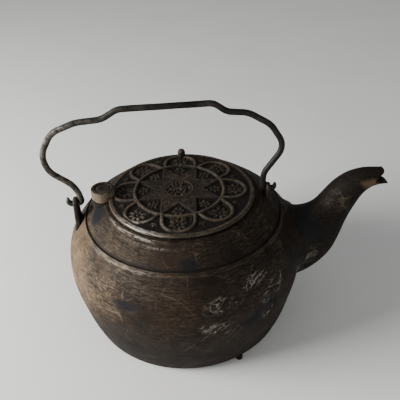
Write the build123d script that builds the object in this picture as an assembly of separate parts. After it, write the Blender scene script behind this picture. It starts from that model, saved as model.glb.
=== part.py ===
from build123d import *
import math
import os

# Cast iron stove kettle. Millimetres, +Z up, spout towards +X.
# The origin is the centre of the flat base, on the axis of the round body.

# ---------------------------------------------------------------- body
WALL = 3.3                   # thickness of the cast body wall
FLOOR = 4.6                  # thickness of the base
BASE_RADIUS = 90.0           # flat part of the underside
CORNER_MIDDLE = (96.6, 1.8)  # rounded corner between the base and the side
SIDE_RINGS = [               # (radius, height) of the side, from the base corner to the ridge
    (101.6, 7.4),
    (106.2, 20.0),
    (112.3, 44.0),
    (116.6, 66.0),
    (117.2, 80.0),
    (114.7, 98.0),
    (108.0, 111.5),
    (97.0, 124.4),
]
RIDGE_BEAD = (97.2, 125.9)   # raised bead round the shoulder, just outside a scribed groove
RIDGE_GROOVE = (94.9, 126.0)
SHOULDER_RINGS = [           # (radius, height) of the shoulder, from the groove to the collar
    (94.9, 127.0),
    (86.5, 134.2),
    (76.4, 141.2),
]
COLLAR_TOP = 142.3           # flat seat that the lid lies on
COLLAR_RADIUS = 75.0
MOUTH_RADIUS = 63.0          # filling opening
COLLAR_DEPTH = 3.6

# ---------------------------------------------------------------- spout
SPOUT_STATIONS = [           # centre x, centre z, half height, half width, heading in degrees
    (87.0, 78.0, 47.4, 28.0, 8.0),
    (110.2, 81.2, 44.0, 26.0, 21.0),
    (129.3, 92.0, 34.6, 21.5, 40.0),
    (143.6, 107.2, 21.8, 18.0, 53.0),
    (154.8, 126.7, 16.9, 15.6, 57.0),
    (165.9, 141.6, 14.5, 13.6, 43.0),
    (179.9, 150.0, 10.8, 11.2, 20.0),
    (192.0, 152.0, 8.5, 9.4, 5.0),
    (204.5, 152.0, 8.4, 8.4, -2.0),
]
SPOUT_WALL_ROOT = 3.4
SPOUT_WALL_TIP = 2.2
BEAK_NOTCH = (188.6, 149.4)  # deepest point of the open beak, seen from the side
UPPER_LIP = (196.2, 158.8)   # end of the upper lip
LOWER_LIP = (202.4, 143.8)   # end of the pouring lip
LIP_HALF_WIDTH = 3.4         # half width of the pouring lip at its end

# ---------------------------------------------------------------- bail and its ears
BAIL_RADIUS = 2.95           # drawn rod
HOOK_BEND = 3.4              # bend radius of the hooks, at the middle of the rod
HINGE_REAR = (-104.4, 139.0)     # x, z where the rod crosses the rear ear
HINGE_FRONT = (84.0, 144.4)      # x, z where the rod crosses the front ear
HINGE_CLEARANCE = 0.06       # radial clearance of the rod in the ears
EAR_THICKNESS = 4.2
EAR_TOP_REAR = 6.7           # radius of the rounded top about the hole
EAR_TOP_FRONT = 6.0
EAR_FOOT_HALF = 10.0         # half width of the ear where it meets the shoulder
HOOK_LEG_REAR = 6.7          # from the middle of the ear to each leg of the hook
HOOK_LEG_FRONT = 6.1
HOOK_TIP_REAR = 6.6          # height of the turned-up rear tip over the hinge line
HOOK_TIP_FRONT = 5.2
HOOK_TIP_LEAN = 0.4          # how far the tip leans away from the ear
HOOK_TIP_RADIUS = 1.2
BAIL_CORNERS = [             # x, z, bend radius, from the rear hook over to the front hook
    (-101.6, 158.5, 30.0),
    (-124.0, 176.0, 20.0),
    (-128.8, 194.0, 24.0),
    (-116.0, 217.0, 24.0),
    (-93.0, 226.6, 30.0),
    (-69.0, 228.4, 22.0),
    (-54.0, 237.8, 16.0),
    (32.0, 239.0, 14.0),
    (44.0, 229.6, 16.0),
    (64.0, 227.4, 26.0),
    (84.5, 214.5, 26.0),
    (98.4, 191.5, 17.0),
    (79.4, 162.5, 20.0),
]

# ---------------------------------------------------------------- lid, its pivot and its knob
LID_X = -0.8                 # the lid sits a little to the rear of the body axis
LID_RADIUS = 71.0
LID_UNDER = 142.5            # flat underside, just clear of the collar
LID_EDGE_TOP = 145.9
LID_CROWN = 149.4
PIVOT_X = -77.0              # vertical rivet that the lid swings on
PIVOT_Y = 2.0
EYE_RADIUS = 11.5
EYE_TOP = 154.0
RECESS_RADIUS = 7.6
RECESS_DEPTH = 2.4
RIVET_RADIUS = 4.0
RIVET_CLEARANCE = 0.05
RIVET_HEAD_RADIUS = 7.2
RIVET_HEAD = 1.8
RIVET_TAIL_RADIUS = 6.4
RIVET_TAIL = 2.2
RIVET_TAIL_TOP = 133.6
PAD_RADIUS = 11.9
KNOB_X = 1.3
KNOB_Y = 64.5
KNOB_RADIUS = 4.0
KNOB_HEIGHT = 10.0

# ---------------------------------------------------------------- relief on the lid
RELIEF_X = -2.8              # the pattern is cast off centre and slightly turned
RELIEF_TURN = -2.5
PETALS = 8
STAR_POINTS = 8
RING_RADIUS = 43.3
RELIEF_BEAD = 0.9
PETAL_REACH = 64.4           # outermost point of a petal
PETAL_HALF_WIDTH = 15.2
STAR_WAIST = 23.0            # inner corners of the star
ROSETTE_RADIUS = 13.5
RELIEF_RAISE = 1.1

# ---------------------------------------------------------------- feet
FOOT_RADIUS = 3.4
FOOT_HEIGHT = 5.0
FOOT_CIRCLE = 98.0
FOOT_ANGLES = (-61.0, 59.0, 179.0)


def inset(rings, depth):
    """Points moved inwards by depth, square to the line through their neighbours."""
    moved = []
    for i in range(len(rings)):
        before = rings[max(i - 1, 0)]
        after = rings[min(i + 1, len(rings) - 1)]
        run = after[0] - before[0]
        rise = after[1] - before[1]
        length = math.hypot(run, rise)
        moved.append((rings[i][0] - depth * rise / length, rings[i][1] + depth * run / length))
    return moved


def largest(shape):
    return shape.solids().sort_by(SortBy.VOLUME)[-1]


def points_3d(rings):
    return [(radius, 0, height) for radius, height in rings]


def turned(edges):
    """Solid of revolution about the body axis from a closed outline in the XZ plane."""
    return revolve(make_face(Wire(edges)), axis=Axis.Z)


def body_block():
    """The whole outside of the body as a solid, used to fit cast-on features to it."""
    corner = ThreePointArc((BASE_RADIUS, 0, 0), points_3d([CORNER_MIDDLE])[0], points_3d(SIDE_RINGS)[0])
    side = Spline(points_3d(SIDE_RINGS))
    shoulder = Spline(points_3d(SHOULDER_RINGS))
    crest = (RIDGE_GROOVE[0] + 1.0, 0, RIDGE_GROOVE[1])
    bead = ThreePointArc(side @ 1, points_3d([RIDGE_BEAD])[0], crest)
    groove = Polyline(crest, points_3d([(RIDGE_GROOVE[0], RIDGE_GROOVE[1] - 0.4)])[0], shoulder @ 0)
    top = Polyline(
        shoulder @ 1,
        (COLLAR_RADIUS, 0, COLLAR_TOP),
        (0, 0, COLLAR_TOP),
        (0, 0, 0),
        (BASE_RADIUS, 0, 0),
    )
    return turned([corner, side, bead] + list(groove.edges()) + [shoulder] + list(top.edges()))


def cavity():
    """The space inside the body, open at the filling mouth."""
    rings = inset(SIDE_RINGS + SHOULDER_RINGS[1:], WALL)
    corner = ThreePointArc((BASE_RADIUS - 2, 0, FLOOR), (96.0, 0, 6.8), points_3d(rings)[0])
    side = Spline(points_3d(rings))
    top = Polyline(
        side @ 1,
        (MOUTH_RADIUS, 0, COLLAR_TOP - COLLAR_DEPTH),
        (MOUTH_RADIUS, 0, COLLAR_TOP + 5),
        (0, 0, COLLAR_TOP + 5),
        (0, 0, FLOOR),
        (BASE_RADIUS - 2, 0, FLOOR),
    )
    return turned([corner, side] + list(top.edges()))


def spout_section(station, thickness):
    x, z, half_height, half_width, heading = station
    plane = Plane(origin=(x, 0, z), x_dir=(0, 1, 0), z_dir=Vector(1, 0, 0).rotate(Axis.Y, -heading))
    return plane * Ellipse(half_width - thickness, half_height - thickness)


def spout_tube(walls):
    last = len(SPOUT_STATIONS) - 1
    sections = []
    for i, station in enumerate(SPOUT_STATIONS):
        thickness = walls[0] + (walls[1] - walls[0]) * i / last
        sections.append(spout_section(station, thickness))
    return loft(sections)


def beak_cut():
    """Everything in front of the open beak, seen from the side."""
    outline = Polyline(
        (UPPER_LIP[0] - 1.5, 0, UPPER_LIP[1] + 6),
        (UPPER_LIP[0], 0, UPPER_LIP[1]),
        (BEAK_NOTCH[0], 0, BEAK_NOTCH[1]),
        (LOWER_LIP[0] - 2.0, 0, LOWER_LIP[1] + 1.6),
        (LOWER_LIP[0], 0, LOWER_LIP[1] - 6),
        (LOWER_LIP[0] + 10, 0, LOWER_LIP[1] - 6),
        (LOWER_LIP[0] + 10, 0, UPPER_LIP[1] + 6),
        close=True,
    )
    return extrude(make_face(outline), amount=20, dir=(0, 1, 0), both=True)


def lip_cuts():
    """The two sides that narrow the pouring lip to its rounded end."""
    cuts = []
    for side in (1, -1):
        outline = Polyline(
            (BEAK_NOTCH[0] + 3.0, side * 12.0),
            (LOWER_LIP[0], side * LIP_HALF_WIDTH),
            (LOWER_LIP[0] + 4, side * LIP_HALF_WIDTH),
            (LOWER_LIP[0] + 4, side * 14.0),
            close=True,
        )
        cuts.append(Pos(0, 0, LOWER_LIP[1] - 12) * extrude(make_face(outline), amount=15))
    return cuts


def hinge_tilt():
    return math.degrees(math.atan2(HINGE_FRONT[1] - HINGE_REAR[1], HINGE_FRONT[0] - HINGE_REAR[0]))


def hinge_rod(x, z, length, radius):
    """A round bar along the bail's hinge line."""
    direction = Vector(1, 0, 0).rotate(Axis.Y, -hinge_tilt())
    plane = Plane(origin=(x, 0, z), z_dir=direction)
    return plane * Cylinder(radius, length)


def ear(hinge, top_radius, block):
    """Upright lug on the shoulder, with a hole for the bail."""
    x, z = hinge
    foot = z - 34.0
    face = Plane(origin=(x - EAR_THICKNESS / 2, 0, 0), x_dir=(0, 1, 0), z_dir=(1, 0, 0))
    slope = (EAR_FOOT_HALF - top_radius) / 34.0
    outline = Polyline(
        (-top_radius - slope * 3, z - 3),
        (top_radius + slope * 3, z - 3),
        (EAR_FOOT_HALF, foot),
        (-EAR_FOOT_HALF, foot),
        close=True,
    )
    shape = make_face(outline) + Pos(0, z) * Circle(top_radius)
    shape += Pos(0, z - 1.5) * Rectangle(2 * top_radius, 3.2)
    plate = extrude(face * shape, amount=EAR_THICKNESS)
    hole = hinge_rod(x, z, 4 * EAR_THICKNESS, BAIL_RADIUS + HINGE_CLEARANCE)
    return plate - hole - block


def hook_points(hinge, reach, inner):
    """Foot of the leg and end of the tip, on the inner (+1 or -1) and outer side of an ear."""
    x, z = hinge
    slope = math.tan(math.radians(hinge_tilt()))
    leg_x = x + inner * reach
    tip_x = x - inner * reach
    leg = (leg_x, z + inner * reach * slope)
    corner = (tip_x, z - inner * reach * slope)
    tip = (tip_x - inner * HOOK_TIP_LEAN, corner[1] + HOOK_BEND + 0.4)
    return leg, corner, tip


def bail():
    leg_r, corner_r, tip_r = hook_points(HINGE_REAR, HOOK_LEG_REAR, 1)
    leg_f, corner_f, tip_f = hook_points(HINGE_FRONT, HOOK_LEG_FRONT, -1)
    corners = [corner_r, leg_r] + [(x, z) for x, z, _ in BAIL_CORNERS] + [leg_f, corner_f]
    radii = [HOOK_BEND] * 2 + [bend for _, _, bend in BAIL_CORNERS] + [HOOK_BEND] * 2
    path = FilletPolyline(*[(x, 0, z) for x, z in [tip_r] + corners + [tip_f]], radius=radii)
    rod = sweep(Plane(origin=path @ 0, z_dir=path % 0) * Circle(BAIL_RADIUS), path=path)
    print("bail rod length", round(path.length, 1))
    ends = ((path @ 0, (path % 0) * -1, HOOK_TIP_REAR), (path @ 1, path % 1, HOOK_TIP_FRONT))
    for end, heading, tip in ends:
        taper = Plane(origin=end, z_dir=heading)
        rise = tip - HOOK_BEND - 0.4
        base = taper * Circle(BAIL_RADIUS)
        nose = taper * Pos(0, 0, rise) * Circle(HOOK_TIP_RADIUS)
        rod += loft([base, nose])
    return rod


def lid_disc(lift):
    """Plain lid without its relief: a flat disc under a shallow spherical dome."""
    drop = LID_CROWN - LID_EDGE_TOP
    dome_radius = (LID_RADIUS ** 2 + drop ** 2) / (2 * drop)
    disc = extrude(Circle(LID_RADIUS), amount=20)
    dome = Pos(0, 0, LID_CROWN - LID_UNDER + lift - dome_radius) * Sphere(dome_radius)
    return Pos(LID_X, 0, LID_UNDER) * (disc & dome)


def petal(half_width):
    """One petal seen from above: a loop with its round end towards the rim."""
    centre = PETAL_REACH - PETAL_HALF_WIDTH
    root = RING_RADIUS - 8.0
    sides = Pos(0, (centre + root) / 2) * Rectangle(2 * half_width, centre - root)
    return sides + Pos(0, centre) * Circle(half_width)


def star_outline():
    corners = []
    for i in range(2 * STAR_POINTS):
        angle = math.radians(180 / STAR_POINTS * (i + 1))
        radius = RING_RADIUS if i % 2 == 0 else STAR_WAIST
        corners.append((radius * math.sin(angle), radius * math.cos(angle)))
    return Polyline(*corners, close=True)


def lid_relief():
    """Plan view of everything raised on the lid: ring, petals, star and rosette."""
    loop = petal(PETAL_HALF_WIDTH + RELIEF_BEAD) - petal(PETAL_HALF_WIDTH - RELIEF_BEAD)
    loop -= Circle(RING_RADIUS)
    plan = Circle(RING_RADIUS + RELIEF_BEAD) - Circle(RING_RADIUS - RELIEF_BEAD)
    for i in range(PETALS):
        plan += Rot(0, 0, 360 / PETALS * i) * loop
    plan += make_face(star_outline()) - Circle(ROSETTE_RADIUS)
    plan += Circle(ROSETTE_RADIUS - 2 * RELIEF_BEAD)
    return plan


def lid():
    walls = Pos(RELIEF_X, 0, LID_UNDER) * Rot(0, 0, RELIEF_TURN) * extrude(lid_relief(), amount=12)
    shape = lid_disc(0) + (walls & lid_disc(RELIEF_RAISE))
    eye = extrude(Circle(EYE_RADIUS), amount=EYE_TOP - LID_UNDER)
    bridge = Pos(EYE_RADIUS, 0, 0) * extrude(
        Rectangle(2 * EYE_RADIUS, 1.4 * EYE_RADIUS), amount=LID_EDGE_TOP - LID_UNDER)
    recess = Pos(0, 0, EYE_TOP - LID_UNDER - RECESS_DEPTH) * extrude(Circle(RECESS_RADIUS), amount=10)
    hole = Pos(0, 0, -1) * extrude(Circle(RIVET_RADIUS + RIVET_CLEARANCE), amount=20)
    pivot = Pos(PIVOT_X, PIVOT_Y, LID_UNDER)
    return shape + pivot * eye + pivot * bridge - pivot * recess - pivot * hole


def rivet():
    """Headed pin through the lid's eye, peened inside the body."""
    seat = EYE_TOP - RECESS_DEPTH + 0.1
    tail_end = RIVET_TAIL_TOP - RIVET_TAIL
    shank = Pos(0, 0, RIVET_TAIL_TOP) * extrude(Circle(RIVET_RADIUS), amount=seat - RIVET_TAIL_TOP)
    head = Pos(0, 0, seat) * extrude(Circle(RIVET_HEAD_RADIUS), amount=RIVET_HEAD)
    head = fillet(head.edges().group_by(Axis.Z)[-1], 0.8)
    tail = Pos(0, 0, tail_end) * extrude(Circle(RIVET_TAIL_RADIUS), amount=RIVET_TAIL)
    tail = fillet(tail.edges().group_by(Axis.Z)[0], 0.9)
    return Pos(PIVOT_X, PIVOT_Y, 0) * (shank + head + tail)


def knob():
    """Round-topped nub that the lid is pushed by."""
    height = LID_EDGE_TOP - LID_UNDER - 1 + KNOB_HEIGHT
    post = Pos(KNOB_X, KNOB_Y, LID_UNDER + 1) * extrude(Circle(KNOB_RADIUS), amount=height)
    return fillet(post.edges().group_by(Axis.Z)[-1], KNOB_RADIUS - 0.3)


def feet():
    lugs = []
    for angle in FOOT_ANGLES:
        lug = extrude(Circle(FOOT_RADIUS), amount=FOOT_HEIGHT)
        lug = fillet(lug.edges().group_by(Axis.Z)[-1], 1.6)
        lugs.append(Rot(0, 0, angle) * Pos(FOOT_CIRCLE, 0, 0) * lug)
    return lugs


def build():
    block = body_block()
    shell = block - cavity()

    passage = spout_tube((SPOUT_WALL_ROOT, SPOUT_WALL_TIP))
    spout = largest(spout_tube((0.0, 0.0)) - block)
    for cut in [passage, beak_cut()] + lip_cuts():
        spout = largest(spout - cut)
    shell -= passage

    shaft = Pos(PIVOT_X, PIVOT_Y, 120) * extrude(Circle(RIVET_RADIUS), amount=40)
    pocket = Pos(PIVOT_X, PIVOT_Y, RIVET_TAIL_TOP - 20) * extrude(Circle(RIVET_TAIL_RADIUS + 0.6), amount=20)
    pad = Pos(PIVOT_X, PIVOT_Y, 120) * extrude(Circle(PAD_RADIUS), amount=COLLAR_TOP - 120)
    pad = pad - block - shaft
    shell = shell - shaft - (pocket & block)

    cover = lid()
    nub = largest(knob() - cover)
    lugs = [lug - block for lug in feet()]

    return {
        "kettle_body": shell,
        "spout": spout,
        "rear_ear": ear(HINGE_REAR, EAR_TOP_REAR, block),
        "front_ear": ear(HINGE_FRONT, EAR_TOP_FRONT, block),
        "pivot_pad": pad,
        "feet": Compound(children=[Part(lug.wrapped) for lug in lugs]),
        "lid": cover,
        "lid_knob": nub,
        "pivot_rivet": rivet(),
        "bail_handle": bail(),
    }


os.makedirs("parts", exist_ok=True)
for name, shape in build().items():
    export_step(shape, f"parts/{name}.step")
    print(name, len(shape.solids()), round(shape.volume / 1000, 2), "cm3")
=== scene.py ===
import bmesh
import bpy
import math
import numpy as np
from mathutils import Matrix, Vector, noise


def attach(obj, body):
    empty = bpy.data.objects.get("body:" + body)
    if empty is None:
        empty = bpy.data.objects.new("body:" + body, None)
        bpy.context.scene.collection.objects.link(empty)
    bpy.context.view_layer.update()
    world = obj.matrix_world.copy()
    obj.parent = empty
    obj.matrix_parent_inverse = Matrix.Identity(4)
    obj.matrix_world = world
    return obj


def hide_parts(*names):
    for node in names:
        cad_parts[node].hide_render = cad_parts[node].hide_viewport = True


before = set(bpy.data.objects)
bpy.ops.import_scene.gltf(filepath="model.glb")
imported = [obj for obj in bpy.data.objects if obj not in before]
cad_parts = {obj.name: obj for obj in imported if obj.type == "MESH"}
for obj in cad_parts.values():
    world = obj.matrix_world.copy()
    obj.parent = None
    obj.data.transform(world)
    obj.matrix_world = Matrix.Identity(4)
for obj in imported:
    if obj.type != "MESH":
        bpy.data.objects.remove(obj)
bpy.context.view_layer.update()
MM = 0.001

# ------------------------------------------------------------------ sizes of the kettle, mm
# outline of the body casting as (radius, height), from the middle of its underside outwards
UNDERSIDE = [(3.0, 0.0), (40.0, 0.0), (80.0, 0.0)]
CORNER = [(90.0, 0.0), (93.6, 0.45), (96.6, 1.8), (99.4, 4.2), (101.6, 7.4)]
SIDE = [(101.6, 7.4), (106.2, 20.0), (112.3, 44.0), (116.6, 66.0), (117.2, 80.0), (114.7, 98.0),
        (108.0, 111.5), (97.0, 124.4)]
RIDGE = [(97.5, 125.2), (97.2, 125.9), (96.6, 126.25), (95.9, 126.1), (95.2, 125.65),
         (94.9, 125.6), (94.7, 126.2)]
SHOULDER = [(94.9, 127.0), (86.5, 134.2), (76.4, 141.2)]
COLLAR = [(75.6, 141.7), (75.0, 142.15), (74.4, 142.3), (70, 142.3), (64.2, 142.3),
          (63.3, 142.0), (63.0, 141.2)]
MOUTH_EDGE = (63.0, 138.7)
INNER_FLOOR = [(96.0, 7.0), (88.0, 4.6), (60, 4.6), (30, 4.6), (3, 4.6)]
WALL = 3.3
SEAM_HEIGHT = 68.0
LAST_FLAT_ROW = 4

# stations of the spout as (x, z, half height, half width, heading in degrees)
SPOUT = [(87.0, 78.0, 47.4, 28.0, 8.0), (110.2, 81.2, 44.0, 26.0, 21.0),
         (129.3, 92.0, 34.6, 21.5, 40.0), (143.6, 107.2, 21.8, 18.0, 53.0),
         (154.8, 126.7, 16.9, 15.6, 57.0), (165.9, 141.6, 14.5, 13.6, 43.0),
         (179.9, 150.0, 10.8, 11.2, 20.0), (192.0, 152.0, 8.5, 9.4, 5.0),
         (204.5, 152.0, 8.4, 8.4, -2.0)]
SPOUT_ROOT = 0.62
SPOUT_START = 8.0
BORE_START = 12.0
BORE_WALL = 3.6

# the open beak as (x, z): the notch between its lips and the end of each lip
NOTCH = (186.9, 149.2)
UPPER_LIP = (197.0, 158.6)
LOWER_LIP = (202.6, 144.4)
LIP_TOP = 160.8
LIP_DROP = 3.0
LIP_RUN = 3.0
LIP_SIDES = 6.0
UPPER_HALF_WIDTH = 9.4
LOWER_HALF_WIDTH = 8.8

# hinge holes as (x, z), and the corners of the bail as (x, z, bend radius)
REAR = (-104.4, 139.0)
FRONT = (84.0, 144.4)
BAIL = [(-101.6, 158.5, 30), (-124, 176, 20), (-128.8, 194, 24), (-116, 217, 24),
        (-93, 226.6, 30), (-69, 228.4, 22), (-54, 237.8, 16), (32, 239, 14), (44, 229.6, 16),
        (64, 227.4, 26), (84.5, 214.5, 26), (98.4, 191.5, 17), (79.4, 162.5, 20)]
HOOK_LEG_REAR = 6.7
HOOK_LEG_FRONT = 6.1
HOOK_TIP_REAR = 6.6
HOOK_TIP_FRONT = 5.2
HOOK_BEND = 3.4
ROD_RADIUS = 2.95
ROD_TIP_RADIUS = 1.2
HOLE_RADIUS = 3.01
HOLE_FLARE = 0.54
EAR_HALF = 2.1
EAR_ROUNDING = 0.75
EAR_FILLET = 3.0

LID_X = -0.8
LID_R = 71.0
LID_UNDER = 142.5
LID_EDGE = 145.9
LID_CROWN = 149.4
LID_RIM_R = 68.6
PIVOT = (-77.0, 2.0)
NUB = (1.3, 65.8)

# the cast pattern of the lid: a star and a ring of petals about a rosette
RELIEF_X = -2.8
RELIEF_TURN = math.radians(-2.5)
SECTOR = math.pi / 4
RING_R = 43.3
PETAL_HALF = 15.2
PETAL_REACH = 64.4
STAR_INNER_R = 23.0
ROSE_R = 12.4
ROSE_RING_R = 13.3
SUNK = -0.95


# ------------------------------------------------------------------ curves and meshes
def smoothstep(a, b, x):
    t = np.clip((x - a) / (b - a), 0, 1)
    return t * t * (3 - 2 * t)


def spline(points):
    """Natural cubic spline through points of any dimension, as a function of chord length."""
    p = np.array(points, float)
    chord = np.hypot(*(np.diff(p[:, :2], axis=0).T))
    t = np.concatenate([[0], np.cumsum(chord)])
    n = len(p)
    a = np.zeros((n, n))
    b = np.zeros_like(p)
    a[0, 0] = a[-1, -1] = 1
    for i in range(1, n - 1):
        h0, h1 = t[i] - t[i - 1], t[i + 1] - t[i]
        a[i, i - 1:i + 2] = h0, 2 * (h0 + h1), h1
        b[i] = 6 * ((p[i + 1] - p[i]) / h1 - (p[i] - p[i - 1]) / h0)
    m = np.linalg.solve(a, b)

    def at(u):
        u = np.clip(np.asarray(u, float), 0, t[-1])
        k = np.clip(np.searchsorted(t, u, side="right") - 1, 0, n - 2)
        h = (t[k + 1] - t[k])[..., None]
        lo, hi = (t[k + 1] - u)[..., None], (u - t[k])[..., None]
        return (m[k] * lo ** 3 + m[k + 1] * hi ** 3) / (6 * h) \
            + (p[k] / h - m[k] * h / 6) * lo + (p[k + 1] / h - m[k + 1] * h / 6) * hi
    return at, t[-1]


def smooth_line(points, count):
    """count points evenly along a spline, as tuples."""
    at, length = spline(points)
    return [tuple(q) for q in at(np.linspace(0, length, count))]


def lumps(points, scale, seed, detail):
    """Smooth seeded noise in -1..1 at every point, for cast and forged unevenness."""
    shift = Vector((seed * 7.3, seed * 3.1, seed * 5.7))
    values = [noise.fractal(Vector(q) / scale + shift, 1.0, 2.0, detail)
              for q in points.reshape(-1, 3)]
    return np.array(values).reshape(points.shape[:-1])


def revolve(profile, cols, centre=(0.0, 0.0)):
    """A profile of (radius, height) turned about a vertical axis: angles, radii and points."""
    profile = np.array(profile, float)
    angle = np.linspace(0, 2 * math.pi, cols, endpoint=False)
    r = profile[:, :1] * np.ones(cols)
    z = profile[:, 1:] * np.ones(cols)
    points = np.stack([centre[0] + r * np.cos(angle), centre[1] + r * np.sin(angle), z], 2)
    return angle, r, points


def grid_mesh(name, points, wrap=False, wear=None):
    """Mesh from rows of points in mm, each row a closed loop.

    With wrap the last row joins the first, and without it both ends are capped. wear holds
    one value for each row or for each point.
    """
    rows, cols = points.shape[:2]
    faces = []
    for i in range(rows if wrap else rows - 1):
        k = (i + 1) % rows
        for j in range(cols):
            n = (j + 1) % cols
            faces.append((i * cols + j, i * cols + n, k * cols + n, k * cols + j))
    if not wrap:
        faces.append(tuple(range(cols))[::-1])
        faces.append(tuple((rows - 1) * cols + j for j in range(cols)))
    mesh = bpy.data.meshes.new(name)
    mesh.from_pydata((points.reshape(-1, 3) * MM).tolist(), [], faces)
    if wear is not None:
        values = np.broadcast_to(np.reshape(wear, (rows, -1)), (rows, cols))
        layer = mesh.attributes.new("wear", "FLOAT", "POINT")
        layer.data.foreach_set("value", values.astype(np.float32).ravel())
    mesh.update()
    bm = bmesh.new()
    bm.from_mesh(mesh)
    bmesh.ops.recalc_face_normals(bm, faces=bm.faces)
    bm.to_mesh(mesh)
    bm.free()
    mesh.polygons.foreach_set("use_smooth", [True] * len(mesh.polygons))
    return add_object(name, mesh)


def add_object(name, data):
    obj = bpy.data.objects.new(name, data)
    bpy.context.scene.collection.objects.link(obj)
    return obj


# ------------------------------------------------------------------ where body and spout meet
CORNER_LINE = smooth_line(CORNER, 10)
SIDE_LINE = smooth_line(SIDE, 110)
SHOULDER_LINE = smooth_line(SHOULDER, 30)
OUTSIDE = np.array(CORNER_LINE + SIDE_LINE[1:] + SHOULDER_LINE)


def height_over_body(x, y, z):
    """Distance in mm of points from the outer wall of the body, positive outside."""
    r = np.hypot(x, y)
    q = np.stack([np.ravel(r), np.ravel(z)], 1)
    d = np.linalg.norm(q[:, None, :] - OUTSIDE[None], axis=2)
    k = np.clip(d.argmin(1), 1, len(OUTSIDE) - 2)
    tangent = OUTSIDE[k + 1] - OUTSIDE[k - 1]
    tangent /= np.linalg.norm(tangent, axis=1)[:, None]
    away = q - OUTSIDE[k]
    return (away[:, 0] * tangent[:, 1] - away[:, 1] * tangent[:, 0]).reshape(np.shape(r))


def spout_distance(x, y, z):
    """Approximate distance in mm from the outer wall of the spout's root, positive outside."""
    at, length = spline(SPOUT)
    best = np.full(np.shape(x), 1e9)
    for station_x, station_z, high, wide, heading in at(np.linspace(0, SPOUT_ROOT * length, 90)):
        head = math.radians(heading)
        along = (x - station_x) * math.cos(head) + (z - station_z) * math.sin(head)
        rise = -(x - station_x) * math.sin(head) + (z - station_z) * math.cos(head)
        k0 = np.sqrt((rise / high) ** 2 + (y / wide) ** 2) + 1e-6
        k1 = np.sqrt((rise / high ** 2) ** 2 + (y / wide ** 2) ** 2) + 1e-6
        beyond = np.maximum(np.abs(along) - 1.5, 0)
        passed = 1e3 * (np.abs(along) > 8) * (k0 < 1)
        distance = np.hypot((k0 - 1) * k0 / k1, beyond) * np.sign(k0 - 1)
        best = np.minimum(best, distance + passed)
    return best


def blend_width(z):
    """The spout runs into the body softly at its top and sides, and more sharply underneath."""
    return 7 + 14 * smoothstep(48, 84, z) * (1 - 0.85 * smoothstep(98, 116, z))


def swell(other, z):
    """Distance to move a wall outwards so that it meets the other in one rounded surface."""
    width = blend_width(z)
    out = np.zeros_like(other)
    for _ in range(8):
        near = np.clip(width - np.abs(out - other), 0, None) / width
        joined = np.minimum(out, other) - near ** 2 * width / 4
        out = np.where(other > 0, out - joined * 0.9, out)
        out = np.clip(out, 0, width / 4)
    return np.where(other > 0, out, width / 4)


# ------------------------------------------------------------------ body
def make_body():
    inner = [MOUTH_EDGE] + [(r - WALL * 0.6, z - WALL) for r, z in SHOULDER_LINE[::-4]]
    inner += [(r - WALL, z) for r, z in SIDE_LINE[::3]][::-1] + INNER_FLOOR
    profile = np.array(UNDERSIDE + CORNER_LINE + SIDE_LINE[1:] + RIDGE + SHOULDER_LINE[1:]
                       + COLLAR + inner)
    angle, r, points = revolve(profile, 420)
    x, y, z = np.moveaxis(points, 2, 0)

    # cast unevenness and the mould seam, on the outer wall alone
    row = np.arange(len(profile))
    last = len(UNDERSIDE) + len(CORNER_LINE) + len(SIDE_LINE) + len(SHOULDER_LINE)
    outer = ((row > LAST_FLAT_ROW) & (row < last))[:, None]
    coarse, fine = lumps(points, 55, 2, 2), lumps(points, 9, 5, 3)
    uneven = smoothstep(2, 14, z) * (1 - smoothstep(136, 141, z))
    seam = np.exp(-((z - SEAM_HEIGHT - 0.5 * np.sin(angle * 2)) / 0.9) ** 2)
    push = uneven * (0.34 * coarse + 0.085 * fine) * outer + 0.16 * seam * outer
    scale = 1 + push / np.maximum(r, 20)
    wall = np.stack([x * scale, y * scale, z], 2)

    # the wall swells out to meet the spout
    near = outer & (x > 62) & (np.abs(y) < 64) & (z > 18) & (z < 139)
    near_x, near_y, near_z = wall[near].T
    grow = swell(spout_distance(near_x, near_y, near_z), near_z)
    slope = np.gradient(profile, axis=0)
    slope /= np.maximum(np.linalg.norm(slope, axis=1), 1e-6)[:, None]
    out_r, out_z, around = (np.broadcast_to(values, x.shape)[near]
                            for values in (slope[:, 1:], -slope[:, :1], angle))
    out = np.stack([out_r * np.cos(around), out_r * np.sin(around), out_z], 1)
    wall[near] += out * grow[:, None]
    return grid_mesh("kettle_casting", wall)


def make_passage():
    """The hole through the body's wall into the spout."""
    at, _ = spline(SPOUT)
    theta = np.linspace(0, 2 * math.pi, 64, endpoint=False)
    rings = []
    for x, z, high, wide, heading in at(np.linspace(4, 30, 8)):
        head = math.radians(heading)
        rise = (high - BORE_WALL) * np.cos(theta)
        side = (wide - BORE_WALL) * np.sin(theta)
        rings.append(np.stack([x - rise * math.sin(head), side, z + rise * math.cos(head)], 1))
    return grid_mesh("passage", np.array(rings))


def cut_passage(obj):
    passage = make_passage()
    cut = obj.modifiers.new("passage", "BOOLEAN")
    cut.operation = "DIFFERENCE"
    cut.object = passage
    cut.solver = "EXACT"
    bpy.context.view_layer.update()
    evaluated = obj.evaluated_get(bpy.context.evaluated_depsgraph_get())
    carved = bpy.data.meshes.new_from_object(evaluated)
    obj.modifiers.clear()
    obj.data = carved
    bpy.data.objects.remove(passage)


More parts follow.
